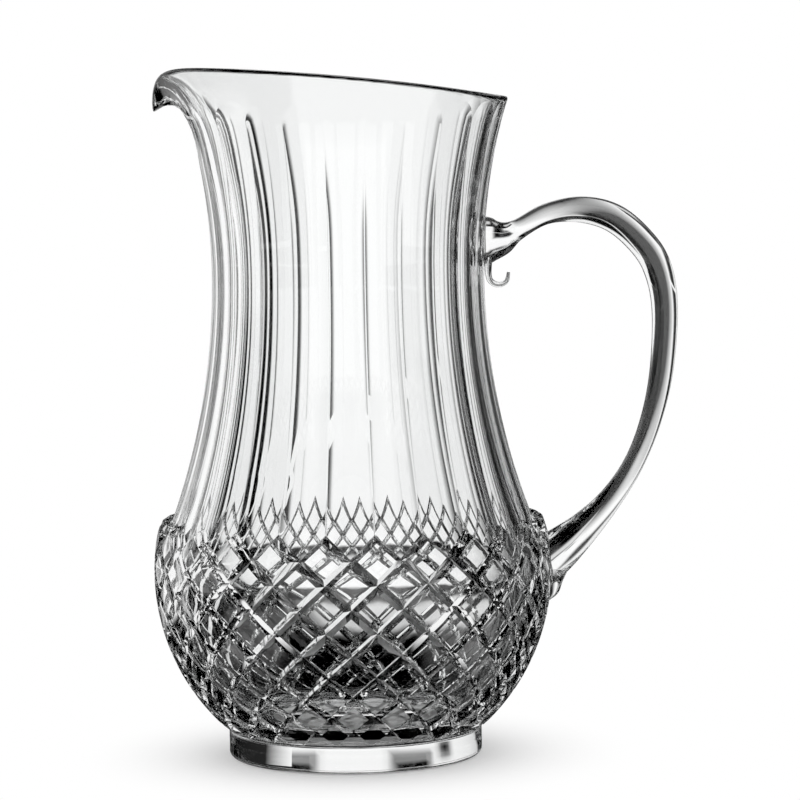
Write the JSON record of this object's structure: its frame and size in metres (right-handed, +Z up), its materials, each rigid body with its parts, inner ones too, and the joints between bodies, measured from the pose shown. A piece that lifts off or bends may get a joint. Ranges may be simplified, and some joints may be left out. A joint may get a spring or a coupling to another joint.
{
  "type": "juice jug",
  "caption": "Clear cut glass juice jug with a diamond-cut bowl, a fluted neck, a slanted rim, a turned-down pouring lip and an applied loop handle.",
  "frame": {"origin": "centre of the flat underside of the foot, on the axis of the bowl, at table level", "axes": "+Z up along the axis of the bowl, +X towards the handle, -X towards the pouring lip"},
  "size_m": [0.1761, 0.1328, 0.2303],
  "materials": {
    "body_glass": "clear colourless crystal, cut and polished facets",
    "handle_glass": "clear colourless crystal, fire polished and smooth"
  },
  "bodies": {
    "root": {"jug_body": "body_glass", "handle": "handle_glass"}
  },
  "joints": []
}
